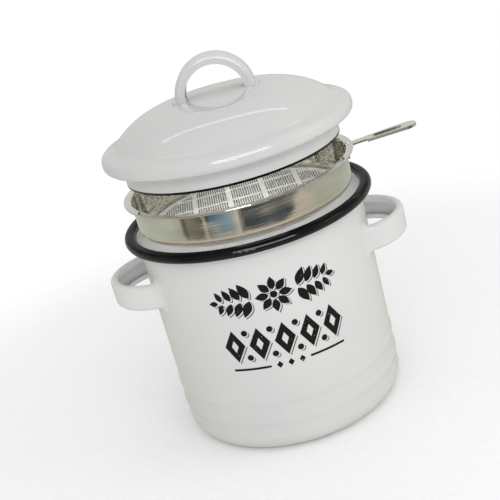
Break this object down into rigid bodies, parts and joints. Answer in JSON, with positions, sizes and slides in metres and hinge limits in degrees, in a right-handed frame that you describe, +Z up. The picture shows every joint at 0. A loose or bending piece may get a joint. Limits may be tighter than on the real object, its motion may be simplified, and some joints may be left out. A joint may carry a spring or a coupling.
{
  "type": "bacon grease container",
  "caption": "Enamelled steel grease pot with two side handles, a stainless strainer that hangs in the mouth and a domed lid with a strap handle.",
  "frame": {"origin": "centre of the pot's flat underside", "axes": "+Z up along the pot's axis, +X towards the strainer's handle, -Y towards the printed front"},
  "size_m": [0.1643, 0.125, 0.1854],
  "materials": {
    "white_enamel": "glossy vitreous enamel on steel",
    "black_enamel": "glossy vitreous enamel on steel",
    "stainless": "polished stainless sheet"
  },
  "bodies": {
    "pot": {"pot_shell": "white_enamel", "rim_bead": "black_enamel", "left_handle": "white_enamel", "right_handle": "white_enamel"},
    "strainer": {"strainer_bowl": "stainless", "strainer_screen": "stainless", "strainer_handle": "stainless"},
    "lid": {"lid_shell": "white_enamel", "lid_edge": "black_enamel", "lid_handle": "white_enamel"}
  },
  "joints": [
    {"name": "strainer_lift", "type": "slide", "parent": "pot", "child": "strainer", "axis": [0, 0, 1], "range_m": [-0.016, 0.034]},
    {"name": "lid_lift", "type": "slide", "parent": "strainer", "child": "lid", "axis": [0, 0, 1], "range_m": [-0.0169, 0.0331]}
  ]
}
